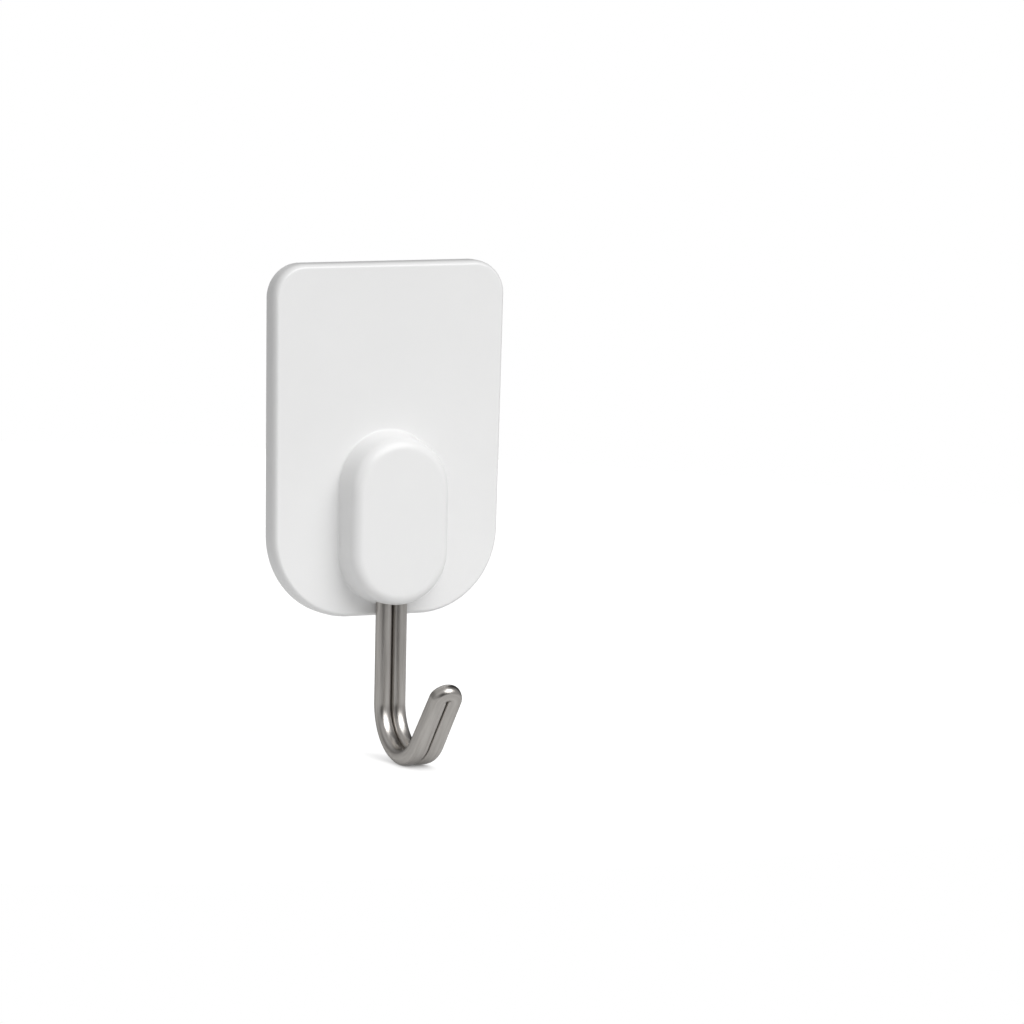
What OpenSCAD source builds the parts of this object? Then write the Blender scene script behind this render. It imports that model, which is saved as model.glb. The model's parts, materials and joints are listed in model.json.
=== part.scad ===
// Adhesive wall hook: a doubled wire held in a moulded plate, with a foam pad and its liner behind.
// The wall is the plane y = 0, the hook faces -y and +z is up.

/* [Plate] */
// Width of the plate
plate_w = 40; // [36:0.5:60]
// Height of the plate
plate_h = 56.5; // [48:0.5:80]
// Thickness of the plate
plate_t = 3.2; // [2.4:0.1:5]
// Corner radius at the top of the plate
top_corner_r = 5; // [2:0.5:8]
// Corner radius at the bottom of the plate
bottom_corner_r = 14; // [8:0.5:16]
// Rounding of the plate's front edge
plate_edge_r = 0.8; // [0.3:0.1:1.2]

/* [Boss] */
// Width of the boss at the plate
boss_w = 17.8; // [16:0.2:21]
// Height of the boss at the plate
boss_h = 28; // [25:0.5:34]
// Strip of plate left bare below the boss
boss_foot = 1.9; // [1.6:0.1:8]
// How far the boss stands out from the plate
boss_depth = 5.8; // [5:0.1:9]
// How far each side of the boss leans in between the plate and the front
boss_draft = 0.7; // [0.1:0.1:1.2]
// Rounding of the boss's front edge
boss_edge_r = 1.5; // [0.5:0.1:2.5]
// Fillet between the boss and the plate
boss_fillet_r = 0.3; // [0.2:0.1:0.9]
// Wall of the boss around its pocket
boss_wall = 2; // [1.6:0.1:2.6]

/* [Wire] */
// Diameter of the wire
wire_d = 2.55; // [2:0.05:3]
// Gap between the two legs of the doubled wire
leg_gap = 0.1; // [0.05:0.05:0.4]
// Distance of the wire's axis from the front of the plate
wire_standoff = 2; // [1.8:0.1:2.8]
// Straight drop of the legs below the plate
stem_drop = 13.5; // [8:0.5:30]
// Radius of the hook's bend at the wire's axis
bend_r = 7.7; // [5:0.1:14]
// Angle of the arm above the horizontal
arm_angle = 52; // [20:1:80]
// Straight length of the arm
arm_l = 10.3; // [4:0.1:25]
// Bend radius of the feet at the wire's axis
foot_bend_r = 2.5; // [1.9:0.1:3]
// Height of the feet above the middle of the boss
foot_rise = 3; // [0:0.1:4]
// Room between the ends of the feet and the pocket's wall
foot_end_gap = 1.4; // [0.6:0.1:2]
// How far the wire's skin swells where it is bent into the hook
bend_swell = 0.02; // [0.02:0.01:0.06]
// Clearance around the wire in the pocket
wire_clearance = 0.05; // [0.02:0.01:0.2]
// Clearance around the wire in the slot below the boss
slot_clearance = 0.1; // [0.05:0.05:0.25]

/* [Retainer] */
// Thickness of the retainer's plate
retainer_t = 2; // [1.4:0.1:2.4]
// Clearance around the retainer and the stakes
fit_clearance = 0.1; // [0.05:0.05:0.2]
// Wall of the channel that the legs lie in
channel_wall = 1.4; // [1:0.1:2]
// Height of the ledges that carry the feet
ledge_h = 4; // [3:0.1:6]
// Diameter of the stakes
stake_d = 1.8; // [1.4:0.1:2]
// Diameter of the stakes' formed heads
stake_head_d = 2.6; // [2.2:0.1:2.8]
// Thickness of the stakes' heads
stake_head_t = 0.6; // [0.4:0.1:0.8]
// How far the stakes' heads lie below the back of the plate
stake_sink = 0.1; // [0.05:0.05:0.3]
// Diameter of the post that carries the upper stake
post_d = 3.6; // [3:0.1:4.4]
// Room between the feet and the post
post_gap = 0.5; // [0.3:0.1:1]

/* [Pad] */
// Strip of plate left bare around the pad
pad_margin = 1.5; // [0.8:0.1:3]
// Thickness of the foam
foam_t = 1; // [0.5:0.1:2]
// Thickness of each adhesive film
film_t = 0.1; // [0.05:0.05:0.3]
// Thickness of the liner
liner_t = 0.12; // [0.06:0.02:0.3]
// Width of the liner's lifting tab
tab_w = 14; // [8:1:24]
// Distance between the tab and the plate's top edge
tab_setback = 0.3; // [0.1:0.1:0.6]

/* [Hidden] */
$fn = 96;
// how far a cut runs past what it cuts, and a solid into the one that it grows from
overrun = 0.8;
// how far the wire's bend is swept past its end before it is cut square
bend_oversweep = 15;
// how far the fillet's thin edge is sunk into the plate, so that the two surfaces cross
fillet_sink = 0.02;

// layers, by the distance of their backs from the wall
adhesive_z = liner_t;
foam_z = adhesive_z + film_t;
bond_z = foam_z + foam_t;
plate_z = bond_z + film_t;
plate_front_z = plate_z + plate_t;
wire_z = plate_front_z + wire_standoff;
ledge_z = plate_z + retainer_t;
pocket_end_z = wire_z + wire_d / 2 + wire_clearance;

// heights, from the middle of the plate
plate_top = plate_h / 2;
top_y = plate_top - top_corner_r;
bottom_y = bottom_corner_r - plate_top;
side_l = top_y - bottom_y;
boss_mid = boss_foot + boss_h / 2 - plate_top;
boss_reach = (boss_h - boss_w) / 2;
bend_y = -plate_top - stem_drop;
foot_y = boss_mid + foot_rise;
ledge_top = foot_y - wire_d / 2 - wire_clearance;
post_y = foot_y + wire_d / 2 + post_gap + post_d / 2;

// middles of the plate's corner arcs
top_x = plate_w / 2 - top_corner_r;
bottom_x = plate_w / 2 - bottom_corner_r;

// the boss's side, front rounding and fillet, seen in section
draft_angle = atan(boss_draft / boss_depth);
round_z = boss_depth - boss_edge_r;
round_x = side_x(round_z) - boss_edge_r / cos(draft_angle);
fillet_x = side_x(boss_fillet_r) + boss_fillet_r / cos(draft_angle);

// the wire and what holds it
leg_x = (wire_d + leg_gap) / 2;
bend_sweep = 90 + arm_angle;
pocket_r = boss_w / 2 - boss_wall;
foot_tip_x = pocket_r - foot_end_gap;
channel_half = leg_x + wire_d / 2 + wire_clearance;
channel_corner_r = foot_bend_r - wire_d / 2 - wire_clearance;
stake_x = (channel_half + pocket_r) / 2;
stake_places = [[-stake_x, ledge_top - ledge_h / 2], [stake_x, ledge_top - ledge_h / 2], [0, post_y]];

// Half width of the boss at a height above the plate
function side_x(height) = boss_w / 2 - boss_draft * height / boss_depth;

// Turns a shape drawn as seen from the front, its depth along z, to stand against the wall
module on_wall() {
    rotate([90, 0, 0])
        children();
}

// Plate outline, drawn in from its edge by an inset
module plate_outline(inset) {
    top_r = top_corner_r - inset;
    bottom_r = bottom_corner_r - inset;
    for (side = [-1, 1]) {
        translate([side * top_x, top_y])
            circle(top_r);
        translate([side * bottom_x, bottom_y])
            circle(bottom_r);
    }
    translate([inset - plate_w / 2, bottom_y])
        square([plate_w - 2 * inset, side_l]);
    translate([-top_x, top_y])
        square([2 * top_x, top_r]);
    translate([-bottom_x, inset - plate_top])
        square([2 * bottom_x, bottom_r]);
}

// Oblong with round ends, on the boss's own middle line
module oblong(radius) {
    for (end = [-1, 1])
        translate([0, boss_mid + end * boss_reach])
            circle(radius);
    translate([-radius, boss_mid - boss_reach])
        square([2 * radius, 2 * boss_reach]);
}

// Section of the plate from a line inside it out to its rounded edge
module rim_section(reach) {
    square([reach - plate_edge_r, plate_t]);
    square([reach, plate_t - plate_edge_r]);
    translate([reach - plate_edge_r, plate_t - plate_edge_r])
        circle(plate_edge_r);
}

// Straight stretch of the plate's rim, facing a turn from +x
module rim_side(turn, length, reach) {
    rotate(turn)
        rotate([90, 0, 0])
            linear_extrude(length, center = true)
                rim_section(reach);
}

// Quarter of a round corner of the plate, starting at a turn from +x
module rim_corner(turn, radius) {
    rotate(turn)
        rotate_extrude(angle = 90)
            rim_section(radius);
}

// The plate without its boss
module plate_body() {
    side_mid = (top_y + bottom_y) / 2;
    translate([top_x, top_y, plate_z])
        rim_corner(0, top_corner_r);
    translate([-top_x, top_y, plate_z])
        rim_corner(90, top_corner_r);
    translate([-bottom_x, bottom_y, plate_z])
        rim_corner(180, bottom_corner_r);
    translate([bottom_x, bottom_y, plate_z])
        rim_corner(270, bottom_corner_r);
    translate([top_x, side_mid, plate_z])
        rim_side(0, side_l, top_corner_r);
    translate([-top_x, side_mid, plate_z])
        rim_side(180, side_l, top_corner_r);
    translate([0, top_y, plate_z])
        rim_side(90, 2 * top_x, top_corner_r);
    translate([0, bottom_y, plate_z])
        rim_side(270, 2 * bottom_x, bottom_corner_r);
    translate([-top_x, bottom_y, plate_z])
        cube([2 * top_x, side_l, plate_t]);
}

// Half section of the boss: leaning side, round front edge and the fillet at its foot
module boss_section() {
    polygon([[0, -overrun], [fillet_x, -overrun], [fillet_x, 0], [boss_w / 2, 0],
             [round_x + boss_edge_r * cos(draft_angle), round_z + boss_edge_r * sin(draft_angle)],
             [round_x, boss_depth], [0, boss_depth]]);
    translate([round_x, round_z])
        circle(boss_edge_r);
    difference() {
        polygon([[fillet_x, 0], [boss_w / 2, 0],
                 [fillet_x - boss_fillet_r * cos(draft_angle), boss_fillet_r * (1 - sin(draft_angle))]]);
        translate([fillet_x, boss_fillet_r])
            circle(boss_fillet_r);
    }
}

// The boss as a full solid, its foot sunk into the plate
module boss_body() {
    translate([0, boss_mid, plate_front_z - fillet_sink]) {
        translate([0, boss_reach, 0])
            rotate_extrude(angle = 180)
                boss_section();
        translate([0, -boss_reach, 0])
            rotate(180)
                rotate_extrude(angle = 180)
                    boss_section();
        for (side = [0, 1])
            mirror([side, 0, 0])
                rotate([90, 0, 0])
                    linear_extrude(2 * boss_reach, center = true)
                        boss_section();
    }
}

// What stands in the pocket beside the legs: the channel's wall and the ledge under one foot
module ledge_outline() {
    pocket_low = boss_mid - boss_reach - pocket_r;
    difference() {
        union() {
            translate([channel_half, pocket_low - overrun])
                square([channel_wall, ledge_top - pocket_low + overrun]);
            translate([channel_half, ledge_top - ledge_h])
                square([pocket_r + overrun - channel_half, ledge_h]);
        }
        difference() {
            translate([channel_half - overrun, ledge_top - channel_corner_r])
                square([channel_corner_r + overrun, channel_corner_r + overrun]);
            translate([channel_half + channel_corner_r, ledge_top - channel_corner_r])
                circle(channel_corner_r);
        }
    }
}

// Hollow behind the boss: a shallow seat for the retainer and the deeper pocket for the wire
module pocket() {
    translate([0, 0, plate_z - overrun])
        linear_extrude(retainer_t + overrun)
            oblong(pocket_r);
    translate([0, 0, plate_z - overrun])
        linear_extrude(pocket_end_z - plate_z + overrun)
            difference() {
                oblong(pocket_r);
                for (side = [0, 1])
                    mirror([side, 0])
                        ledge_outline();
                translate([0, post_y])
                    circle(post_d / 2);
            }
}

// Slot through the boss's lower wall for the two legs, side by side
module leg_slot() {
    slot_r = wire_d / 2 + slot_clearance;
    translate([0, boss_mid - boss_reach, wire_z])
        rotate([90, 0, 0])
            linear_extrude(boss_w / 2 + boss_fillet_r + overrun) {
                for (side = [-1, 1])
                    translate([side * leg_x, 0])
                        circle(slot_r);
                translate([-leg_x, -slot_r])
                    square([2 * leg_x, 2 * slot_r]);
            }
}

// Stake that comes back through the retainer, with its formed head
module stake() {
    head_z = plate_z + stake_sink;
    translate([0, 0, head_z])
        cylinder(d = stake_d, h = ledge_z - head_z + overrun);
    translate([0, 0, head_z])
        cylinder(d = stake_head_d, h = stake_head_t);
}

module front_plate() {
    color("white")
        on_wall() {
            difference() {
                union() {
                    plate_body();
                    boss_body();
                }
                pocket();
                leg_slot();
            }
            for (place = stake_places)
                translate(place)
                    stake();
        }
}

// Takes a shape that is drawn with the arm running straight down to the arm's real place
module at_arm() {
    translate([0, bend_y, wire_z + bend_r])
        rotate([-bend_sweep, 0, 0])
            children();
}

// Foot and stem of the leg on the side of +x
module leg_stem() {
    stem_top = foot_y - foot_bend_r;
    translate([leg_x + foot_bend_r, foot_y, wire_z])
        rotate([0, 90, 0])
            cylinder(d = wire_d, h = foot_tip_x - leg_x - foot_bend_r);
    translate([leg_x + foot_bend_r, stem_top, wire_z])
        rotate(90)
            rotate_extrude(angle = 90)
                translate([foot_bend_r, 0])
                    circle(d = wire_d);
    translate([leg_x, bend_y, wire_z])
        rotate([-90, 0, 0])
            cylinder(d = wire_d, h = stem_top - bend_y);
}

// Bend of that leg, swept a little too far and cut square where the arm begins
module leg_bend() {
    difference() {
        translate([leg_x, bend_y, wire_z + bend_r])
            rotate([0, 90, 0])
                mirror([0, 1, 0])
                    rotate_extrude(angle = bend_sweep + bend_oversweep)
                        translate([bend_r, 0])
                            circle(wire_d / 2 + bend_swell);
        at_arm()
            translate([leg_x - wire_d, -bend_r, -bend_r - wire_d])
                cube([2 * wire_d, bend_r, 2 * wire_d]);
    }
}

// Arm of that leg, straight
module leg_arm() {
    at_arm()
        translate([leg_x, 0, -bend_r])
            rotate([90, 0, 0])
                cylinder(d = wire_d, h = arm_l);
}

// U bend that joins the two legs at the tip of the arm
module hook_tip() {
    at_arm()
        translate([0, -arm_l, -bend_r])
            mirror([0, 1, 0])
                rotate_extrude(angle = 180)
                    translate([leg_x, 0])
                        circle(d = wire_d);
}

module wire_hook() {
    color("silver")
        on_wall() {
            for (side = [0, 1])
                mirror([side, 0, 0]) {
                    leg_stem();
                    leg_bend();
                    leg_arm();
                }
            hook_tip();
        }
}

// Block on the retainer that fills the channel behind the legs and feet
module retainer_keel() {
    keel_half = channel_half - fit_clearance;
    keel_r = pocket_r - fit_clearance;
    intersection() {
        oblong(keel_r);
        union() {
            translate([-keel_half, boss_mid - boss_reach - pocket_r])
                square([2 * keel_half, boss_reach + pocket_r + foot_rise]);
            translate([-pocket_r, foot_y - wire_d / 2])
                square([2 * pocket_r, wire_d]);
        }
    }
}

module hook_retainer() {
    color("whitesmoke")
        on_wall()
            difference() {
                union() {
                    translate([0, 0, plate_z])
                        linear_extrude(retainer_t)
                            oblong(pocket_r - fit_clearance);
                    translate([0, 0, plate_z])
                        linear_extrude(wire_z - wire_d / 2 - wire_clearance - plate_z)
                            retainer_keel();
                }
                for (place = stake_places)
                    translate([place.x, place.y, plate_z - overrun]) {
                        cylinder(d = stake_d + 2 * fit_clearance, h = retainer_t + 2 * overrun);
                        cylinder(d = stake_head_d + 2 * fit_clearance,
                                 h = stake_sink + stake_head_t + overrun);
                    }
            }
}

// One layer of the pad, from its distance from the wall
module pad_layer(back_z, thickness) {
    on_wall()
        translate([0, 0, back_z])
            linear_extrude(thickness)
                plate_outline(pad_margin);
}

module plate_adhesive() {
    color("lightgray")
        pad_layer(bond_z, film_t);
}

module foam_core() {
    color("gainsboro")
        pad_layer(foam_z, foam_t);
}

module wall_adhesive() {
    color("lightgray")
        pad_layer(adhesive_z, film_t);
}

module release_liner() {
    color("wheat")
        on_wall()
            linear_extrude(liner_t) {
                plate_outline(pad_margin);
                translate([-tab_w / 2, top_y])
                    square([tab_w, top_corner_r - tab_setback]);
            }
}

front_plate();
wire_hook();
hook_retainer();
plate_adhesive();
foam_core();
wall_adhesive();
release_liner();
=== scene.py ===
import bpy
import bmesh
import json
import math
from mathutils import Matrix, Vector, noise

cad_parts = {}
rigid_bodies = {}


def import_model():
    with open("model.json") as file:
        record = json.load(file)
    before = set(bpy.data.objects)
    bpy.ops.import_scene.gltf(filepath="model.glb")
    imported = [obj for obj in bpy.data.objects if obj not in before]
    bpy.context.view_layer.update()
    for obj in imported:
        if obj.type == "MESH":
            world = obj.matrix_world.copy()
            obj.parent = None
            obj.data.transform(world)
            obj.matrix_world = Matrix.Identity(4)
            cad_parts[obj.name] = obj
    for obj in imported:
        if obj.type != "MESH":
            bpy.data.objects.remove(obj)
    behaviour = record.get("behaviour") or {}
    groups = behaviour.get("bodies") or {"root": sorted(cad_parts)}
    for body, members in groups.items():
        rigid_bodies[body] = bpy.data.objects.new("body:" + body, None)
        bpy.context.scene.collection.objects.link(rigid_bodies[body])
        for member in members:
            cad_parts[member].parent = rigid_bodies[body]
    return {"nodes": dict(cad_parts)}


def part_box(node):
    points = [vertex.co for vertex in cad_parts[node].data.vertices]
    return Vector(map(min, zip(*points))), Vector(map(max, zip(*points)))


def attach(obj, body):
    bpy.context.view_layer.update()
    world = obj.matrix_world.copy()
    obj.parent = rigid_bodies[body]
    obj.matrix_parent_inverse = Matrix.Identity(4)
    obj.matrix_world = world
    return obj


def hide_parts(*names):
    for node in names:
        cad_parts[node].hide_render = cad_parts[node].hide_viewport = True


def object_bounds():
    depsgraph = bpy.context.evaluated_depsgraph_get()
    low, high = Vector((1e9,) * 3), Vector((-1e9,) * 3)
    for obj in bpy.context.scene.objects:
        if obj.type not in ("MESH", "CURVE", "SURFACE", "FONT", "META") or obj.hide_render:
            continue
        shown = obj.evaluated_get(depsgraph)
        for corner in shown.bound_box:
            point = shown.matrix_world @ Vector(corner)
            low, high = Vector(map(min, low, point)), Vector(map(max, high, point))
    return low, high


for leftover in list(bpy.data.objects):
    bpy.data.objects.remove(leftover)
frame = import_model()
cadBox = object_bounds()
mm = 0.001
weldReach = 1e-7
noiseSpan = (0.3, 0.7)
scene = bpy.context.scene
scene.view_settings.view_transform = "Standard"


# Helpers for shader trees

def makeMaterial(name):
    material = bpy.data.materials.new(name)
    material.use_nodes = True
    tree = material.node_tree
    tree.nodes.clear()
    output = tree.nodes.new("ShaderNodeOutputMaterial")
    shader = tree.nodes.new("ShaderNodeBsdfPrincipled")
    tree.links.new(shader.outputs["BSDF"], output.inputs["Surface"])
    return material, tree, shader


def addNode(tree, kind, values=None, **settings):
    node = tree.nodes.new(kind)
    for name, value in settings.items():
        setattr(node, name, value)
    for name, value in (values or {}).items():
        node.inputs[name].default_value = value
    return node


def calc(tree, operation, *values):
    # one Math node, fed by sockets or plain numbers
    node = addNode(tree, "ShaderNodeMath", operation=operation)
    for socket, value in zip(node.inputs, values):
        if isinstance(value, (int, float)):
            socket.default_value = value
        else:
            tree.links.new(value, socket)
    return node.outputs["Value"]


def objectPlace(tree):
    return addNode(tree, "ShaderNodeTexCoord").outputs["Object"]


def noiseField(tree, vector, size, detail=2.0, roughness=0.5):
    values = {"Scale": 1.0 / size, "Detail": detail, "Roughness": roughness}
    field = addNode(tree, "ShaderNodeTexNoise", values)
    tree.links.new(vector, field.inputs["Vector"])
    return field.outputs["Fac"]


def spread(tree, value, low, high, span=noiseSpan, ease="LINEAR"):
    # a value within the span turned into one between low and high
    values = {"From Min": span[0], "From Max": span[1], "To Min": low, "To Max": high}
    mapped = addNode(tree, "ShaderNodeMapRange", values, interpolation_type=ease)
    tree.links.new(value, mapped.inputs["Value"])
    return mapped.outputs["Result"]


def tint(tree, value, dark, light):
    ramp = addNode(tree, "ShaderNodeValToRGB")
    for stop, position, colour in zip(ramp.color_ramp.elements, noiseSpan, (dark, light)):
        stop.position = position
        stop.color = (*colour, 1.0)
    tree.links.new(value, ramp.inputs["Fac"])
    return ramp.outputs["Color"]


def bumpFrom(tree, height, depth, strength):
    bump = addNode(tree, "ShaderNodeBump", {"Distance": depth, "Strength": strength})
    tree.links.new(height, bump.inputs["Height"])
    return bump.outputs["Normal"]


# Helpers for objects and meshes

def placed(name, data):
    thing = bpy.data.objects.new(name, data)
    scene.collection.objects.link(thing)
    return thing


def showMesh(name, mesh, material):
    mesh.materials.clear()
    mesh.materials.append(material)
    return placed(name, mesh)


def plainMesh(helper):
    # the mesh that an object's modifiers give, with the object itself removed
    graph = bpy.context.evaluated_depsgraph_get()
    shaped = helper.evaluated_get(graph)
    mesh = bpy.data.meshes.new_from_object(shaped, preserve_all_data_layers=True, depsgraph=graph)
    bpy.data.objects.remove(helper)
    return mesh


def faceOutward(mesh, weld=0.0):
    # points closer than weld become one, and every face is turned outward
    shell = bmesh.new()
    shell.from_mesh(mesh)
    if weld:
        bmesh.ops.remove_doubles(shell, verts=shell.verts, dist=weld)
    bmesh.ops.recalc_face_normals(shell, faces=shell.faces)
    shell.to_mesh(mesh)
    shell.free()


def finished(shell, name, sharpAngle):
    bmesh.ops.recalc_face_normals(shell, faces=shell.faces)
    mesh = bpy.data.meshes.new(name)
    shell.to_mesh(mesh)
    shell.free()
    mesh.shade_smooth()
    mesh.set_sharp_from_angle(angle=math.radians(sharpAngle))
    return mesh


def ringBand(shell, first, second):
    for i in range(len(first)):
        j = (i + 1) % len(first)
        shell.faces.new((first[i], first[j], second[j], second[i]))


def plateOutline(low, high, topRadius, bottomRadius, step, lean=0.0):
    # (x, z) points round a plate with their outward directions, counter-clockwise from the lower right arc
    leastSteps = 6
    tilt, midZ = math.radians(lean), (low.z + high.z) / 2
    lowZ, highZ = low.z + bottomRadius, high.z - topRadius
    corners = [(1, lowZ, bottomRadius, -90, -lean), (1, highZ, topRadius, -lean, 90),
               (-1, highZ, topRadius, 90, 180 + lean), (-1, lowZ, bottomRadius, 180 + lean, 270)]
    arcs = []
    for side, z, radius, first, last in corners:
        middle = Vector((side * (high.x - radius / math.cos(tilt) + (z - midZ) * math.tan(tilt)), z))
        steps = max(leastSteps, round(radius * math.radians(last - first) / step))
        turns = [math.radians(first + (last - first) * i / steps) for i in range(steps + 1)]
        ways = [Vector((math.cos(a), math.sin(a))) for a in turns]
        arcs.append([(middle + way * radius, way) for way in ways])
    points = []
    for arc, nextArc in zip(arcs, arcs[1:] + arcs[:1]):
        points += arc
        a, way = arc[-1]
        b = nextArc[0][0]
        steps = max(1, round((b - a).length / step))
        points += [(a.lerp(b, k / steps), way) for k in range(1, steps)]
    return points


# Hook wire: one hairpin of wire, its path rounded and swept in Geometry Nodes

wire = {
    "diameter": 2.55 * mm, "legGap": 0.06 * mm, "bendRadius": 7.7 * mm, "bendSwell": 0.02 * mm,
    "armAngle": 52.0, "armLength": 10.15 * mm, "footRadius": 2.5 * mm,
    "press": 3.2, "legShare": 0.1, "pressTurn": 80.0, "tipReach": 4.5 * mm,
    "bendSteps": 96, "turnSteps": 32, "sides": 72, "sharpAngle": 50,
    "dark": (0.425, 0.405, 0.383), "light": (0.545, 0.525, 0.5), "edgeTint": (0.55, 0.55, 0.55),
    "lineWidth": 0.09 * mm, "lineLength": 9 * mm, "lineDetail": 3.0,
    "lineDepth": 0.003 * mm, "lineBump": 0.25,
    "streakWidth": 0.45 * mm, "streakLength": 9 * mm, "streakDetail": 2.0,
    "mottleSize": 1.6 * mm, "mottleDetail": 3.0, "roughLow": 0.285, "roughHigh": 0.325,
}


def drawnSteel():
    w = wire
    material, tree, shader = makeMaterial("drawnSteel")
    section = addNode(tree, "ShaderNodeAttribute", attribute_name="wireSection").outputs["Vector"]
    along = addNode(tree, "ShaderNodeAttribute", attribute_name="wireAlong").outputs["Fac"]

    def drawnField(width, length, detail):
        # a noise stretched along the wire
        parts = addNode(tree, "ShaderNodeSeparateXYZ")
        joined = addNode(tree, "ShaderNodeCombineXYZ")
        tree.links.new(section, parts.inputs["Vector"])
        tree.links.new(parts.outputs["X"], joined.inputs["X"])
        tree.links.new(parts.outputs["Y"], joined.inputs["Y"])
        tree.links.new(calc(tree, "MULTIPLY", along, width / length), joined.inputs["Z"])
        return noiseField(tree, joined.outputs["Vector"], width, detail)

    lines = drawnField(w["lineWidth"], w["lineLength"], w["lineDetail"])
    streaks = drawnField(w["streakWidth"], w["streakLength"], w["streakDetail"])
    mottle = noiseField(tree, objectPlace(tree), w["mottleSize"], w["mottleDetail"])
    tree.links.new(tint(tree, streaks, w["dark"], w["light"]), shader.inputs["Base Color"])
    tree.links.new(spread(tree, mottle, w["roughLow"], w["roughHigh"]), shader.inputs["Roughness"])
    tree.links.new(bumpFrom(tree, lines, w["lineDepth"], w["lineBump"]), shader.inputs["Normal"])
    shader.inputs["Metallic"].default_value = 1.0
    shader.inputs["Specular Tint"].default_value = (*w["edgeTint"], 1.0)
    return material


def wirePath():
    # corners of the hairpin, how far each one is rounded and in how many steps
    w = wire
    low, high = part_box("wire_hook")
    radius = w["diameter"] / 2
    legX = (w["diameter"] + w["legGap"]) / 2
    axisY = high.y - radius - w["bendSwell"]
    footZ = high.z - radius
    bendZ = low.z + radius + w["bendSwell"] + w["bendRadius"]
    armTurn = math.radians(w["armAngle"])
    reach = w["bendRadius"] * math.tan((math.pi / 2 + armTurn) / 2)
    rise = Vector((0, -math.cos(armTurn), math.sin(armTurn)))
    elbow = Vector((0, axisY, bendZ - reach))
    tip = elbow + rise * (reach + w["armLength"] + legX)
    leg = [((high.x, axisY, footZ), 0.0, 1),
           ((legX, axisY, footZ), w["footRadius"], w["turnSteps"]),
           ((legX, *elbow.yz), w["bendRadius"], w["bendSteps"]),
           ((legX, *tip.yz), legX, w["turnSteps"])]
    corners = leg + [((-p[0], p[1], p[2]), r, n) for p, r, n in reversed(leg)]
    mesh = bpy.data.meshes.new("wirePath")
    mesh.from_pydata([p for p, r, n in corners], [(i, i + 1) for i in range(len(corners) - 1)], [])
    rounding = mesh.attributes.new("rounding", "FLOAT", "POINT")
    steps = mesh.attributes.new("steps", "INT", "POINT")
    rounding.data.foreach_set("value", [r for p, r, n in corners])
    steps.data.foreach_set("value", [n for p, r, n in corners])
    return mesh


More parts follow.
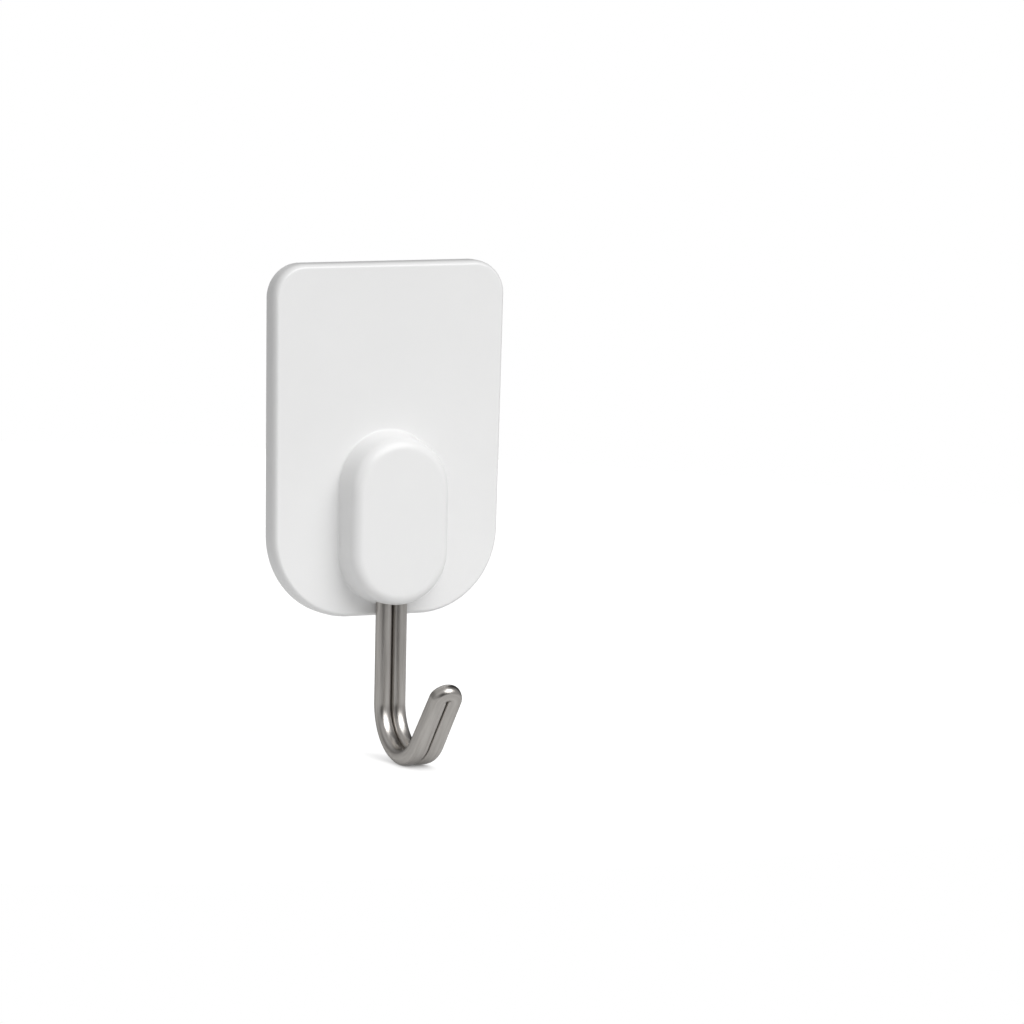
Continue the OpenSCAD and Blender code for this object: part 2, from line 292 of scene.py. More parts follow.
def wireTree():
    tree = bpy.data.node_groups.new("doubledWire", "GeometryNodeTree")
    link = tree.links.new
    inputs = {"Path": "Geometry", "Wire Radius": "Float", "Sides": "Int", "Arm Reach": "Float",
              "Bend Radius": "Float", "Bend Turn": "Float", "Arm Angle": "Float", "Press Turn": "Float",
              "Press": "Float", "Tip Reach": "Float", "Leg Share": "Float", "Finish": "Material"}
    ids = {}
    for name, kind in inputs.items():
        socket = tree.interface.new_socket(name, in_out="INPUT", socket_type="NodeSocket" + kind)
        ids[name] = socket.identifier
    tree.interface.new_socket("Wire", in_out="OUTPUT", socket_type="NodeSocketGeometry")

    def kept(name, kind):
        node = addNode(tree, "GeometryNodeInputNamedAttribute", {"Name": name}, data_type=kind)
        return node.outputs["Attribute"]

    def keep(geometry, name, kind, value):
        node = addNode(tree, "GeometryNodeStoreNamedAttribute", {"Name": name},
                       data_type=kind, domain="POINT")
        link(geometry, node.inputs["Geometry"])
        link(value, node.inputs["Value"])
        return node.outputs["Geometry"]

    def vector(operation, *values):
        node = addNode(tree, "ShaderNodeVectorMath", operation=operation)
        for socket, value in zip(node.inputs, values):
            link(value, socket)
        return node.outputs["Value" if operation == "DOT_PRODUCT" else "Vector"]

    start = addNode(tree, "NodeGroupInput")
    end = addNode(tree, "NodeGroupOutput")
    toCurve = addNode(tree, "GeometryNodeMeshToCurve")
    fillet = addNode(tree, "GeometryNodeFilletCurve", mode="POLY")
    link(start.outputs["Path"], toCurve.inputs["Mesh"])
    link(toCurve.outputs["Curve"], fillet.inputs["Curve"])
    link(kept("rounding", "FLOAT"), fillet.inputs["Radius"])
    link(kept("steps", "INT"), fillet.inputs["Count"])
    # kept on the path: length, place, the turn left before the straight arm, and the share of the press
    length = addNode(tree, "GeometryNodeSplineParameter").outputs["Length"]
    whole = addNode(tree, "GeometryNodeSplineLength").outputs["Length"]
    place = addNode(tree, "GeometryNodeInputPosition").outputs["Position"]
    fromTip = calc(tree, "ABSOLUTE", calc(tree, "MULTIPLY_ADD", whole, -0.5, length))
    pastArm = calc(tree, "SUBTRACT", fromTip, start.outputs["Arm Reach"])
    turned = calc(tree, "MAXIMUM", 0.0, calc(tree, "DIVIDE", pastArm, start.outputs["Bend Radius"]))
    turnLeft = calc(tree, "MINIMUM", start.outputs["Bend Turn"], turned)
    pressed = addNode(tree, "ShaderNodeMapRange", {"From Max": 0.0}, interpolation_type="SMOOTHSTEP")
    link(turnLeft, pressed.inputs["Value"])
    link(start.outputs["Press Turn"], pressed.inputs["From Min"])
    beyondTip = addNode(tree, "ShaderNodeMapRange", interpolation_type="SMOOTHSTEP")
    link(fromTip, beyondTip.inputs["Value"])
    link(start.outputs["Tip Reach"], beyondTip.inputs["From Max"])
    armShare = calc(tree, "MULTIPLY", pressed.outputs["Result"], beyondTip.outputs["Result"])
    pressShare = calc(tree, "MAXIMUM", armShare, start.outputs["Leg Share"])
    path = keep(fillet.outputs["Curve"], "wireAlong", "FLOAT", length)
    path = keep(path, "wireAxis", "FLOAT_VECTOR", place)
    path = keep(path, "wireTurn", "FLOAT", turnLeft)
    path = keep(path, "wirePress", "FLOAT", pressShare)
    ring = addNode(tree, "GeometryNodeCurvePrimitiveCircle", mode="RADIUS")
    link(start.outputs["Wire Radius"], ring.inputs["Radius"])
    link(start.outputs["Sides"], ring.inputs["Resolution"])
    sweep = addNode(tree, "GeometryNodeCurveToMesh", {"Fill Caps": True})
    link(path, sweep.inputs["Curve"])
    link(keep(ring.outputs["Curve"], "wireSection", "FLOAT_VECTOR", place), sweep.inputs["Profile Curve"])
    # the arm is pressed a little flat: its round section turns squarer, and the bend runs into it
    lean = calc(tree, "SUBTRACT", start.outputs["Arm Angle"], kept("wireTurn", "FLOAT"))
    face = addNode(tree, "ShaderNodeCombineXYZ")
    link(calc(tree, "SINE", lean), face.inputs["Y"])
    link(calc(tree, "COSINE", lean), face.inputs["Z"])
    axis = kept("wireAxis", "FLOAT_VECTOR")
    offset = vector("SUBTRACT", place, axis)
    facing = vector("DOT_PRODUCT", vector("NORMALIZE", offset), face.outputs["Vector"])
    rise = calc(tree, "ABSOLUTE", facing)
    flankSquare = calc(tree, "SUBTRACT", 1.0, calc(tree, "POWER", rise, 2.0))
    flank = calc(tree, "SQRT", calc(tree, "MAXIMUM", 0.0, flankSquare))
    power = calc(tree, "MULTIPLY_ADD", kept("wirePress", "FLOAT"), start.outputs["Press"], 2.0)
    total = calc(tree, "ADD", calc(tree, "POWER", rise, power), calc(tree, "POWER", flank, power))
    square = calc(tree, "POWER", total, calc(tree, "DIVIDE", -1.0, power))
    press = addNode(tree, "GeometryNodeSetPosition")
    link(sweep.outputs["Mesh"], press.inputs["Geometry"])
    link(vector("MULTIPLY_ADD", offset, square, axis), press.inputs["Position"])
    smooth = addNode(tree, "GeometryNodeSetShadeSmooth")
    link(press.outputs["Geometry"], smooth.inputs["Geometry"])
    realize = addNode(tree, "GeometryNodeRealizeInstances")
    link(smooth.outputs["Geometry"], realize.inputs["Geometry"])
    finish = addNode(tree, "GeometryNodeSetMaterial")
    link(realize.outputs["Geometry"], finish.inputs["Geometry"])
    link(start.outputs["Finish"], finish.inputs["Material"])
    link(finish.outputs["Geometry"], end.inputs["Wire"])
    return tree, ids


def makeWire():
    w = wire
    steel = drawnSteel()
    tree, ids = wireTree()
    path = placed("wirePath", wirePath())
    sweep = path.modifiers.new("doubledWire", "NODES")
    sweep.node_group = tree
    values = {"Wire Radius": w["diameter"] / 2, "Sides": w["sides"],
              "Arm Reach": w["armLength"] + math.pi / 2 * (w["diameter"] + w["legGap"]) / 2,
              "Bend Radius": w["bendRadius"], "Bend Turn": math.radians(90 + w["armAngle"]),
              "Arm Angle": math.radians(w["armAngle"]), "Press Turn": math.radians(w["pressTurn"]),
              "Press": w["press"], "Tip Reach": w["tipReach"], "Leg Share": w["legShare"], "Finish": steel}
    for name, value in values.items():
        sweep[ids[name]] = value
    mesh = plainMesh(path)
    faceOutward(mesh, weldReach)
    mesh.set_sharp_from_angle(angle=math.radians(w["sharpAngle"]))
    piece = showMesh("wireHook", mesh, steel)
    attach(piece, "hook")
    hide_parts("wire_hook")
    return piece


wireHook = makeWire()
print("wire swept:", len(wireHook.data.polygons), "faces")


# White moulding: a plate with leaning sides and a soft rim, its oblong boss, and the retainer's seat behind

moulding = {
    "thickness": 3.2 * mm, "lean": 0.69, "topRadius": 5.4 * mm, "bottomRadius": 13.5 * mm,
    "rimReach": 0.75 * mm, "rimDepth": 1.5 * mm, "plateStep": 0.35 * mm,
    "bossWidth": 17.2 * mm, "bossHeight": 27.8 * mm, "bossFoot": 2 * mm, "bossRound": 1.7 * mm,
    "draft": 0.2 * mm, "topDraft": 0.8 * mm, "bottomDraft": 0.2 * mm, "fillet": 0.3 * mm,
    "bossStep": 0.25 * mm, "arcSteps": 12, "hold": 0.12 * mm, "sharpAngle": 35, "toolAngle": 30,
    "pocketRadius": 6.9 * mm, "pocketReach": 5.1 * mm, "seatDepth": 2 * mm, "overrun": 0.8 * mm,
    "channelHalf": 2.65 * mm, "wireRoom": 2.65 * mm, "standoff": 2 * mm,
    "slotReach": 1.325 * mm, "slotRadius": 1.375 * mm, "slotLength": 4.4 * mm,
    "stakeRadius": 0.9 * mm, "headRadius": 1.3 * mm, "headThickness": 0.6 * mm, "headSink": 0.1 * mm,
    "stakeSides": 32, "ledgeDrop": 3.325 * mm, "postRise": 3.575 * mm,
    "dark": (0.828, 0.828, 0.826), "light": (0.852, 0.852, 0.850), "index": 1.5,
    "flowSize": 22 * mm, "flowDetail": 9.0, "fieldRoughness": 0.6,
    "grainSize": 0.22 * mm, "grainDetail": 3.0, "grainDepth": 0.004 * mm, "grainBump": 0.35,
    "waveSize": 14 * mm, "waveDetail": 1.0, "waveSpan": (0.1, 0.9), "roughLow": 0.29, "roughHigh": 0.33,
}


def whiteMoulding():
    m = moulding
    material, tree, shader = makeMaterial("whiteMoulding")
    place = objectPlace(tree)
    flow = noiseField(tree, place, m["flowSize"], m["flowDetail"], m["fieldRoughness"])
    grain = noiseField(tree, place, m["grainSize"], m["grainDetail"], m["fieldRoughness"])
    wave = noiseField(tree, place, m["waveSize"], m["waveDetail"])
    rough = spread(tree, wave, m["roughLow"], m["roughHigh"], m["waveSpan"])
    tree.links.new(tint(tree, flow, m["dark"], m["light"]), shader.inputs["Base Color"])
    tree.links.new(rough, shader.inputs["Roughness"])
    tree.links.new(bumpFrom(tree, grain, m["grainDepth"], m["grainBump"]), shader.inputs["Normal"])
    shader.inputs["IOR"].default_value = m["index"]
    return material


def rimSection():
    # inset from the plate's outline and height above its back, from the back edge to the flat front
    m = moulding
    straight = m["thickness"] - m["rimDepth"]
    turns = [math.pi / 2 * i / m["arcSteps"] for i in range(m["arcSteps"] + 1)]
    arc = [(m["rimReach"] * (1 - math.cos(a)), straight + m["rimDepth"] * math.sin(a)) for a in turns]
    return [(0.0, 0.0), (0.0, straight - m["hold"])] + arc + [(m["rimReach"] + m["hold"], m["thickness"])]


def bossSection(depth):
    # reach from the boss's spine and height above the plate: fillet, leaning side and round front edge
    m = moulding
    lean = math.atan(m["draft"] / depth)

    def sideReach(height):
        return m["bossWidth"] / 2 - m["draft"] * height / depth

    def arc(middle, radius, first, last):
        turns = [first + (last - first) * i / m["arcSteps"] for i in range(m["arcSteps"] + 1)]
        return [(middle[0] + radius * math.cos(a), middle[1] + radius * math.sin(a)) for a in turns]

    foot = (sideReach(m["fillet"]) + m["fillet"] / math.cos(lean), m["fillet"])
    brow = depth - m["bossRound"]
    edge = (sideReach(brow) - m["bossRound"] / math.cos(lean), brow)
    fillet = arc(foot, m["fillet"], 1.5 * math.pi, math.pi + lean)
    rounded = arc(edge, m["bossRound"], lean, math.pi / 2)
    low, high = fillet[-1][1] + m["hold"], rounded[0][1] - m["hold"]
    side = [(sideReach(h), h) for h in (low, (low + high) / 2, high)]
    return [(foot[0] + m["hold"], 0.0)] + fillet + side + rounded + [(edge[0] - m["hold"], depth)]


def oblong(radius, reach, midZ, step):
    # spine points and outward directions round an upright oblong, counter-clockwise from its right side
    leastTurns = 12
    turns = max(leastTurns, round(radius * math.pi / step))
    rise = max(1, round(2 * reach / step))
    points = []
    for start, end in ((0, 1), (math.pi, -1)):
        way = Vector((math.cos(start), math.sin(start)))
        points += [(Vector((0, midZ - end * reach * (1 - 2 * k / rise))), way) for k in range(rise)]
        for k in range(turns):
            a = start + math.pi * k / turns
            points.append((Vector((0, midZ + end * reach)), Vector((math.cos(a), math.sin(a)))))
    return points


def prism(name, base, reach):
    # closed solid between a loop of points and the same loop moved by reach
    shell = bmesh.new()
    first = [shell.verts.new(p) for p in base]
    second = [shell.verts.new(Vector(p) + Vector(reach)) for p in base]
    ringBand(shell, first, second)
    shell.faces.new(first)
    shell.faces.new(second)
    return finished(shell, name, moulding["toolAngle"])


def stakeMesh(x, z, headY, rootY):
    # a round stake with its formed head
    m = moulding
    neckY = headY - m["headThickness"]
    turns = [2 * math.pi * k / m["stakeSides"] for k in range(m["stakeSides"])]
    head, stem = m["headRadius"], m["stakeRadius"]
    shell = bmesh.new()
    rings = []
    for radius, y in ((head, headY), (head, neckY), (stem, neckY), (stem, rootY)):
        ring = [(x + radius * math.cos(a), y, z + radius * math.sin(a)) for a in turns]
        rings.append([shell.verts.new(p) for p in ring])
    for first, second in zip(rings, rings[1:]):
        ringBand(shell, first, second)
    shell.faces.new(rings[0])
    shell.faces.new(rings[-1])
    return finished(shell, "stake", m["toolAngle"])


def mouldingSkin(low, high, midZ, reach):
    # outside of the plate and boss, with a closed flat back
    m = moulding
    frontY = high.y - m["thickness"]
    depth = frontY - low.y
    shell = bmesh.new()
    outline = plateOutline(low, high, m["topRadius"], m["bottomRadius"], m["plateStep"], m["lean"])
    rim = [[shell.verts.new((p.x - way.x * inset, high.y - h, p.y - way.y * inset)) for p, way in outline]
           for inset, h in rimSection()]
    spine = oblong(m["bossWidth"] / 2, reach, midZ, m["bossStep"])
    boss = []
    for far, h in bossSection(depth):
        ring = []
        for c, way in spine:
            share = (c.y - midZ + reach) / (2 * reach)
            shift = (m["bottomDraft"] * (1 - share) - m["topDraft"] * share) * h / depth
            ring.append(shell.verts.new((way.x * far, frontY - h, c.y + shift + way.y * far)))
        boss.append(ring)
    for rings in (rim, boss):
        for first, second in zip(rings, rings[1:]):
            ringBand(shell, first, second)
    shell.faces.new(rim[0])
    shell.faces.new(boss[-1])
    loops = [shell.edges.get((ring[i - 1], ring[i])) for ring in (rim[-1], boss[0]) for i in range(len(ring))]
    bmesh.ops.triangle_fill(shell, use_beauty=True, use_dissolve=False, edges=loops)
    return finished(shell, "plateMoulding", m["sharpAngle"])


def makeMoulding():
    m = moulding
    low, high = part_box("front_plate")
    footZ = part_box("wire_hook")[1].z - wire["diameter"] / 2
    midZ = low.z + m["bossFoot"] + m["bossHeight"] / 2
    reach = (m["bossHeight"] - m["bossWidth"]) / 2
    pocket, room = m["pocketRadius"], m["wireRoom"] / 2
    pocketLow = midZ - m["pocketReach"] - pocket
    wireY = high.y - m["thickness"] - m["standoff"]
    seatY, startY = high.y - m["seatDepth"], high.y + m["overrun"]
    seatWay, wireWay = (0, seatY - startY, 0), (0, wireY - room - startY, 0)

    def block(half, bottom, top):
        return [(-half, startY, bottom), (half, startY, bottom), (half, startY, top), (-half, startY, top)]

    seat = [(c.x + way.x * pocket, startY, c.y + way.y * pocket)
            for c, way in oblong(pocket, m["pocketReach"], midZ, m["bossStep"])]
    channel = block(m["channelHalf"], pocketLow, footZ + room)
    footBar = block(pocket, footZ - room, footZ + room)
    slot = [(c.y + way.y * m["slotRadius"], wireY + way.x * m["slotRadius"], pocketLow + m["overrun"])
            for c, way in oblong(m["slotRadius"], m["slotReach"], 0.0, m["bossStep"])]
    tools = [("DIFFERENCE", prism("seat", seat, seatWay)),
             ("DIFFERENCE", prism("channel", channel, wireWay)),
             ("DIFFERENCE", prism("footBar", footBar, wireWay)),
             ("DIFFERENCE", prism("slot", slot, (0, 0, -m["slotLength"])))]
    stakeX, ledgeZ = (m["channelHalf"] + pocket) / 2, footZ - m["ledgeDrop"]
    for x, z in ((-stakeX, ledgeZ), (stakeX, ledgeZ), (0.0, footZ + m["postRise"])):
        tools.append(("UNION", stakeMesh(x, z, high.y - m["headSink"], seatY - m["overrun"])))
    body = placed("plateBody", mouldingSkin(low, high, midZ, reach))
    helpers = []
    for operation, tool in tools:
        helper = placed(tool.name, tool)
        helpers.append(helper)
        step = body.modifiers.new(tool.name, "BOOLEAN")
        step.operation, step.object, step.solver = operation, helper, "EXACT"
    mesh = plainMesh(body)
    for helper in helpers:
        bpy.data.objects.remove(helper)
    mesh.set_sharp_from_angle(angle=math.radians(m["sharpAngle"]))
    piece = showMesh("plateMoulding", mesh, whiteMoulding())
    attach(piece, "hook")
    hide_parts("front_plate")
    return piece


plateMoulding = makeMoulding()
print("plate moulded:", len(plateMoulding.data.polygons), "faces")


# Retainer: keeps its solid

retainer = {
    "dark": (0.75, 0.75, 0.74), "light": (0.80, 0.80, 0.79), "flowSize": 9 * mm,
    "roughLow": 0.5, "roughHigh": 0.62,
    "grainSize": 0.3 * mm, "grainDetail": 3.0, "grainDepth": 0.01 * mm, "grainBump": 0.5,
}


def retainerMoulding():
    r = retainer
    material, tree, shader = makeMaterial("retainerMoulding")
    place = objectPlace(tree)
    flow = noiseField(tree, place, r["flowSize"])
    grain = noiseField(tree, place, r["grainSize"], r["grainDetail"])
    tree.links.new(tint(tree, flow, r["dark"], r["light"]), shader.inputs["Base Color"])
    tree.links.new(spread(tree, grain, r["roughLow"], r["roughHigh"]), shader.inputs["Roughness"])
    tree.links.new(bumpFrom(tree, grain, r["grainDepth"], r["grainBump"]), shader.inputs["Normal"])
    return material


def refinish(nodeName, material):
    slots = frame["nodes"][nodeName].data.materials
    slots.clear()
    slots.append(material)


refinish("hook_retainer", retainerMoulding())
print("retainer finished")


# Adhesive films: both keep their solids

film = {
    "dark": (0.69, 0.70, 0.67), "light": (0.78, 0.79, 0.76), "mottleSize": 2.4 * mm, "mottleDetail": 3.0,
    "dropSize": 0.35 * mm, "dropDetail": 2.0, "dropDepth": 0.012 * mm, "dropBump": 0.6,
    "roughLow": 0.14, "roughHigh": 0.25, "index": 1.47,
}


def tackyFilm():
    f = film
    material, tree, shader = makeMaterial("tackyFilm")
    place = objectPlace(tree)
    mottle = noiseField(tree, place, f["mottleSize"], f["mottleDetail"])
    drops = noiseField(tree, place, f["dropSize"], f["dropDetail"])
    tree.links.new(tint(tree, mottle, f["dark"], f["light"]), shader.inputs["Base Color"])
    tree.links.new(spread(tree, drops, f["roughLow"], f["roughHigh"]), shader.inputs["Roughness"])
    tree.links.new(bumpFrom(tree, drops, f["dropDepth"], f["dropBump"]), shader.inputs["Normal"])
    shader.inputs["IOR"].default_value = f["index"]
    return material


filmMaterial = tackyFilm()
refinish("plate_adhesive", filmMaterial)
refinish("wall_adhesive", filmMaterial)
print("films finished")


# Foam pad: a die-cut sheet whose cut edge shows opened cells

foam = {
    "topRadius": 3.5 * mm, "bottomRadius": 12.5 * mm, "step": 0.2 * mm, "rows": 8, "waist": 0.05 * mm,
    "cellSize": 0.34 * mm, "cellDepth": 0.09 * mm, "cellRise": 2.2, "seed": 3.7, "sharpAngle": 40,
    "dark": (0.70, 0.71, 0.70), "light": (0.83, 0.84, 0.83), "patchSize": 1.2 * mm, "patchDetail": 3.0,
    "poreSize": 0.2 * mm, "poreDepth": 0.05 * mm, "poreBump": 0.8, "rough": 0.9,
}


def foamCells():
    f = foam
    material, tree, shader = makeMaterial("foamCells")
    place = objectPlace(tree)
    pores = addNode(tree, "ShaderNodeTexVoronoi", {"Scale": 1.0 / f["poreSize"]}, feature="SMOOTH_F1")
    tree.links.new(place, pores.inputs["Vector"])
    patches = noiseField(tree, place, f["patchSize"], f["patchDetail"])
    bumps = bumpFrom(tree, pores.outputs["Distance"], f["poreDepth"], f["poreBump"])
    tree.links.new(tint(tree, patches, f["dark"], f["light"]), shader.inputs["Base Color"])
    tree.links.new(bumps, shader.inputs["Normal"])
    shader.inputs["Roughness"].default_value = f["rough"]
    return material


def makeFoam():
    f = foam
    low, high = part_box("foam_core")
    outline = plateOutline(low, high, f["topRadius"], f["bottomRadius"], f["step"])
    count = len(outline)
    points, faces = [], []
    for row in range(f["rows"] + 1):
        share = row / f["rows"]
        y = low.y + (high.y - low.y) * share
        bow = math.sin(math.pi * share)
        for p, out in outline:
            spot = Vector((p.x, y, p.y)) / f["cellSize"] + Vector((f["seed"],) * 3)
            pit = max(0.0, noise.noise(spot)) * f["cellDepth"] * min(1.0, f["cellRise"] * bow)
            q = p - out * (pit + f["waist"] * bow)
            points.append((q.x, y, q.y))
    for row in range(f["rows"]):
        a, b = row * count, (row + 1) * count
        for i in range(count):
            j = (i + 1) % count
            faces.append((a + i, a + j, b + j, b + i))
    faces.append(tuple(reversed(range(count))))
    faces.append(tuple(range(f["rows"] * count, (f["rows"] + 1) * count)))
    mesh = bpy.data.meshes.new("foamPad")
    mesh.from_pydata(points, [], faces)
    faceOutward(mesh)
    mesh.shade_smooth()
    mesh.set_sharp_from_angle(angle=math.radians(f["sharpAngle"]))
    piece = showMesh("foamPad", mesh, foamCells())
    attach(piece, "hook")
    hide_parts("foam_core")
    return piece


foamPad = makeFoam()
print("foam cut:", len(foamPad.data.polygons), "faces")


# Release liner: a sheet of siliconed paper with a tab whose free edge leans forward

liner = {
    "topRadius": 3.5 * mm, "bottomRadius": 12.5 * mm, "step": 0.5 * mm,
    "tabWidth": 14 * mm, "tabRadius": 0.7 * mm, "tabSteps": 8, "curl": 0.3 * mm, "curlRows": 8,
    "dark": (0.77, 0.715, 0.585), "light": (0.85, 0.805, 0.685), "roughLow": 0.38, "roughHigh": 0.52,
    "cloudSize": 5 * mm, "cloudDetail": 4.0, "cloudRoughness": 0.6, "cloudShare": 0.6,
    "fibreTurns": (24, -38), "fibreWidth": 0.12 * mm, "fibreLength": 1.6 * mm, "fibreDetail": 2.0,
    "fibreDepth": 0.006 * mm, "fibreBump": 0.5, "fibreShare": 0.8,
}


def linerPaper():
    f = liner
    material, tree, shader = makeMaterial("linerPaper")
    place = objectPlace(tree)
    cloud = noiseField(tree, place, f["cloudSize"], f["cloudDetail"], f["cloudRoughness"])
    fibres = []
    for turn in f["fibreTurns"]:
        values = {"Rotation": (0, math.radians(turn), 0), "Scale": (f["fibreWidth"] / f["fibreLength"], 1, 1)}
        lay = addNode(tree, "ShaderNodeMapping", values)
        tree.links.new(place, lay.inputs["Vector"])
        fibres.append(noiseField(tree, lay.outputs["Vector"], f["fibreWidth"], f["fibreDetail"]))
    felt = calc(tree, "MULTIPLY", *fibres)
    blend = calc(tree, "MULTIPLY_ADD", felt, f["fibreShare"], calc(tree, "MULTIPLY", cloud, f["cloudShare"]))
    tree.links.new(tint(tree, blend, f["dark"], f["light"]), shader.inputs["Base Color"])
    tree.links.new(spread(tree, cloud, f["roughLow"], f["roughHigh"]), shader.inputs["Roughness"])
    tree.links.new(bumpFrom(tree, felt, f["fibreDepth"], f["fibreBump"]), shader.inputs["Normal"])
    return material


def linerOutline(low, high, padTop):
    # the pad's outline with the tab let into its top edge
    f = liner
    sheetHigh = Vector((high.x, 0, padTop))
    outline = [p for p, way in plateOutline(low, sheetHigh, f["topRadius"], f["bottomRadius"], f["step"])]
    half, corner = f["tabWidth"] / 2, f["tabRadius"]
    tab = [Vector((half, padTop))]
    for x, start in ((half - corner, 0), (corner - half, 90)):
        for i in range(f["tabSteps"] + 1):
            a = math.radians(start + 90 * i / f["tabSteps"])
            tab.append(Vector((x + corner * math.cos(a), high.z - corner + corner * math.sin(a))))
    tab.append(Vector((-half, padTop)))
    nearTab = half + f["step"] / 2
    top = [i for i, p in enumerate(outline) if p.y > padTop - weldReach and abs(p.x) < nearTab]
    return outline[:top[0]] + tab + outline[top[-1] + 1:]


def makeLiner():
    f = liner
    low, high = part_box("release_liner")
    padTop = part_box("foam_core")[1].z
    midY = (low.y + high.y) / 2
    sheet = bmesh.new()
    sheet.faces.new([sheet.verts.new((p.x, midY, p.y)) for p in linerOutline(low, high, padTop)])
    for i in range(f["curlRows"]):
        z = padTop + (high.z - padTop) * i / f["curlRows"]
        bmesh.ops.bisect_plane(sheet, geom=sheet.verts[:] + sheet.edges[:] + sheet.faces[:], dist=weldReach,
                               plane_co=(0, 0, z), plane_no=(0, 0, 1))
    for v in sheet.verts:
        share = max(0.0, (v.co.z - padTop) / (high.z - padTop))
        v.co.y -= f["curl"] * share * share
    flatMesh = bpy.data.meshes.new("linerSheet")
    sheet.to_mesh(flatMesh)
    sheet.free()
    flat = placed("linerFlat", flatMesh)
    thick = flat.modifiers.new("thickness", "SOLIDIFY")
    thick.thickness, thick.offset = high.y - low.y, 0.0
    mesh = plainMesh(flat)
    faceOutward(mesh)
    piece = showMesh("linerSheet", mesh, linerPaper())
    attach(piece, "liner")
    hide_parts("release_liner")
    return piece


linerSheet = makeLiner()
print("liner cut:", len(linerSheet.data.polygons), "faces")


# Floor, light and camera

studio = {
    "floorMiddle": (0.0, 0.17), "floorRadius": 0.28, "floorSides": 96, "floorColour": (0.5, 0.5, 0.5),
    "floorRough": 0.9, "floorGlow": 0.78, "bounceGlow": 0.33,
    # shadeReach, shadePower and shadeSamples set the floor's painted contact shade: how far, how dark and how
    # finely its glow is darkened near the object
    "shadeReach": 6 * mm, "shadePower": 0.35, "shadeSamples": 16,
    "frontLevel": 0.45, "backLevel": 0.2, "turnSpan": (-0.3, 0.45), "leftShare": 1.08, "rightShare": 0.85,
    "gapTurn": -35, "gapLeft": (-0.6, -0.02), "gapRight": (0.3, 0.75), "gapLevel": 0.0, "panelLevel": 0.46,
    "farSpan": (-0.6, 0.6), "farShare": 0.7, "overAim": (-90, 60), "overSpan": (0.55, 0.85), "overLevel": 0.6,
    "lampDistance": 2.5, "keyAim": (14, 46), "keySize": 2.4, "keyLevel": 0.84,
    "backAim": (168, 1), "backSize": 1.2, "backLampLevel": 0.42,
}
shot = {
    "turn": 26.89, "rise": 6.95, "roll": 1.12, "lens": 240.81, "sensor": 36.0, "distance": 1.10317,
    "aim": (23.81 * mm, -1.32 * mm, -12.86 * mm),
}


def aimed(turn, rise):
    # a direction from the object: turn from the front towards +x, and rise above the floor, in degrees
    a, e = math.radians(turn), math.radians(rise)
    return Vector((math.sin(a) * math.cos(e), -math.cos(a) * math.cos(e), math.sin(e)))


def seenRays(tree, rays):
    # 1 for rays that the camera sends, straight or through something clear
    return calc(tree, "MAXIMUM", rays.outputs["Is Camera Ray"], rays.outputs["Is Transmission Ray"])


def makeFloor():
    s = studio
    (x, y), radius, z = s["floorMiddle"], s["floorRadius"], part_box("wire_hook")[0].z
    turns = [2 * math.pi * i / s["floorSides"] for i in range(s["floorSides"])]
    points = [(x + radius * math.cos(a), y + radius * math.sin(a), z) for a in turns]
    mesh = bpy.data.meshes.new("floor")
    mesh.from_pydata(points, [], [tuple(range(s["floorSides"]))])
    material, tree, shader = makeMaterial("paleFloor")
    shader.inputs["Base Color"].default_value = (*s["floorColour"], 1.0)
    shader.inputs["Roughness"].default_value = s["floorRough"]
    shader.inputs["Specular IOR Level"].default_value = 0.0
    shader.inputs["Emission Color"].default_value = (1, 1, 1, 1)
    # the camera sees white but for painted contact shade, the glow darkened by ambient occlusion close to
    # what stands there, and other rays a plain glow
    rays = addNode(tree, "ShaderNodeLightPath")
    shade = addNode(tree, "ShaderNodeAmbientOcclusion", {"Distance": s["shadeReach"]},
                    samples=s["shadeSamples"])
    openness = calc(tree, "POWER", shade.outputs["AO"], s["shadePower"])
    glow = addNode(tree, "ShaderNodeMix", {"A": s["bounceGlow"]}, data_type="FLOAT")
    tree.links.new(seenRays(tree, rays), glow.inputs["Factor"])
    tree.links.new(calc(tree, "MULTIPLY", openness, s["floorGlow"]), glow.inputs["B"])
    tree.links.new(glow.outputs["Result"], shader.inputs["Emission Strength"])
    floor = showMesh("floor", mesh, material)


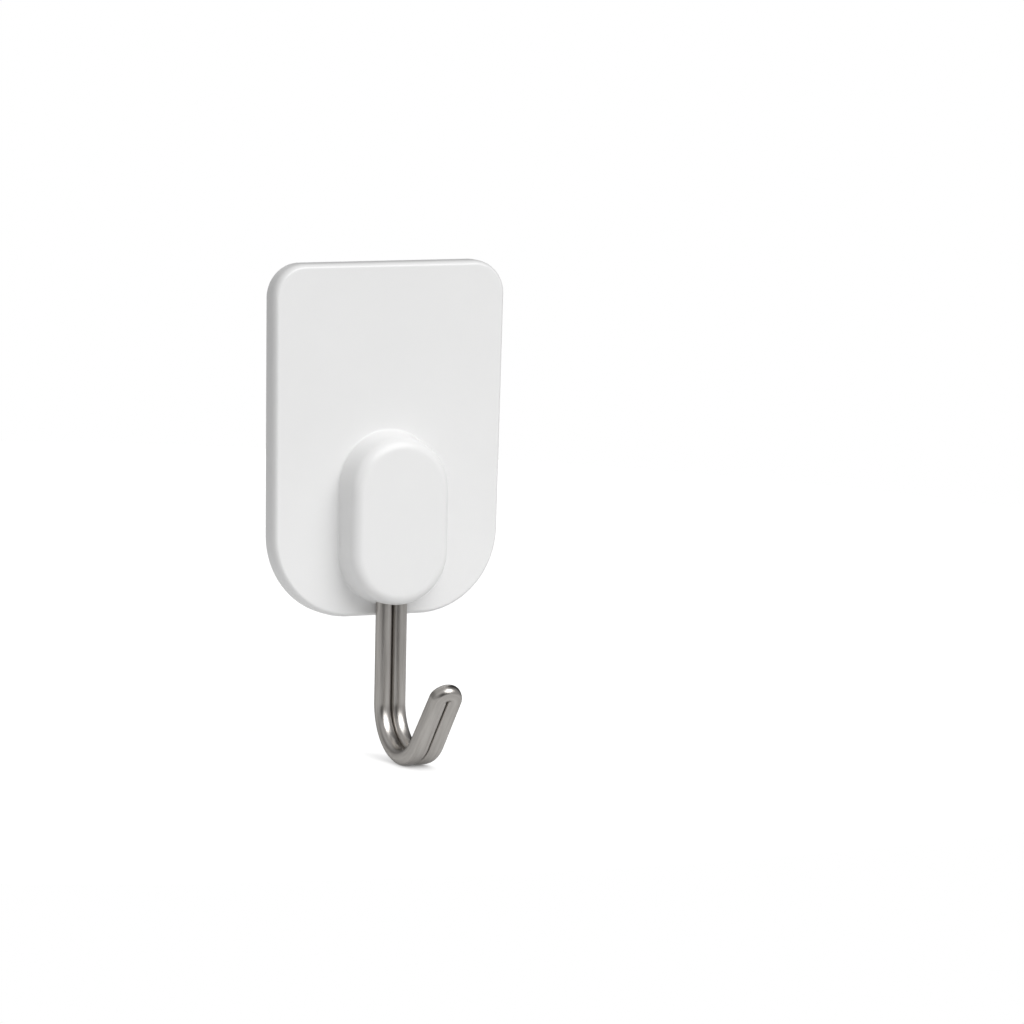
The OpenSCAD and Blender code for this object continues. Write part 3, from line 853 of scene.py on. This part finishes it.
def makeWorld():
    s = studio
    world = bpy.data.worlds.new("studio")
    scene.world = world
    world.use_nodes = True
    tree = world.node_tree
    tree.nodes.clear()
    way = addNode(tree, "ShaderNodeTexCoord").outputs["Generated"]

    def towards(direction):
        facing = addNode(tree, "ShaderNodeVectorMath", operation="DOT_PRODUCT")
        facing.inputs[1].default_value = direction
        tree.links.new(way, facing.inputs[0])
        return facing.outputs["Value"]

    def eased(value, span, low, high):
        return spread(tree, value, low, high, span, "SMOOTHSTEP")

    # the room is light in front of the object, most on the left, and dim behind it
    facing = towards(aimed(0, 0))
    depthLevel = eased(facing, s["turnSpan"], s["backLevel"], s["frontLevel"])
    sideShare = eased(towards(aimed(90, 0)), (-1, 1), s["leftShare"], s["rightShare"])
    front = calc(tree, "MULTIPLY", depthLevel, sideShare)
    # what the gloss shows: a light panel on each side of a dark gap, dimmer behind, and one overhead
    aside = towards(aimed(s["gapTurn"] + 90, 0))
    left = eased(aside, s["gapLeft"], s["panelLevel"], s["gapLevel"])
    right = eased(aside, s["gapRight"], s["gapLevel"], s["panelLevel"])
    nearShare = eased(facing, s["farSpan"], s["farShare"], 1.0)
    sides = calc(tree, "MULTIPLY", calc(tree, "MAXIMUM", left, right), nearShare)
    over = eased(towards(aimed(*s["overAim"])), s["overSpan"], 0.0, s["overLevel"])
    rays = addNode(tree, "ShaderNodeLightPath")
    room = addNode(tree, "ShaderNodeMix", data_type="FLOAT")
    tree.links.new(rays.outputs["Is Glossy Ray"], room.inputs["Factor"])
    tree.links.new(front, room.inputs["A"])
    tree.links.new(calc(tree, "MAXIMUM", sides, over), room.inputs["B"])
    level = addNode(tree, "ShaderNodeMix", {"B": 1.0}, data_type="FLOAT")
    tree.links.new(seenRays(tree, rays), level.inputs["Factor"])
    tree.links.new(room.outputs["Result"], level.inputs["A"])
    sky = addNode(tree, "ShaderNodeBackground", {"Color": (1, 1, 1, 1)})
    tree.links.new(level.outputs["Result"], sky.inputs["Strength"])
    output = addNode(tree, "ShaderNodeOutputWorld")
    tree.links.new(sky.outputs["Background"], output.inputs["Surface"])


def makeLamp(name, aim, size, level):
    # level is the light that a white surface facing the lamp gives back
    distance = studio["lampDistance"]
    data = bpy.data.lights.new(name, "AREA")
    data.shape, data.size = "DISK", size
    data.energy = level * math.pi ** 2 * distance ** 2
    lamp = placed(name, data)
    way = aimed(*aim)
    lamp.location = (cadBox[0] + cadBox[1]) / 2 + way * distance
    lamp.rotation_mode = "QUATERNION"
    lamp.rotation_quaternion = (-way).to_track_quat("-Z", "Y")
    return lamp


def makeCamera():
    c = shot
    data = bpy.data.cameras.new("camera")
    data.lens, data.sensor_width = c["lens"], c["sensor"]
    camera = placed("camera", data)
    turn, roll = math.radians(c["turn"]), math.radians(c["roll"])
    back = aimed(-c["turn"], c["rise"])
    level = Vector((math.cos(turn), -math.sin(turn), 0.0))
    upright = back.cross(level)
    right = level * math.cos(roll) + upright * math.sin(roll)
    up = upright * math.cos(roll) - level * math.sin(roll)
    turned = Matrix((right, up, back)).transposed().to_4x4()
    camera.matrix_world = Matrix.Translation(Vector(c["aim"]) + back * c["distance"]) @ turned
    scene.camera = camera


makeFloor()
makeWorld()
makeLamp("keyLamp", studio["keyAim"], studio["keySize"], studio["keyLevel"])
backLamp = makeLamp("backLamp", studio["backAim"], studio["backSize"], studio["backLampLevel"])
backLamp.visible_glossy = False
makeCamera()
print("floor, light and camera set")
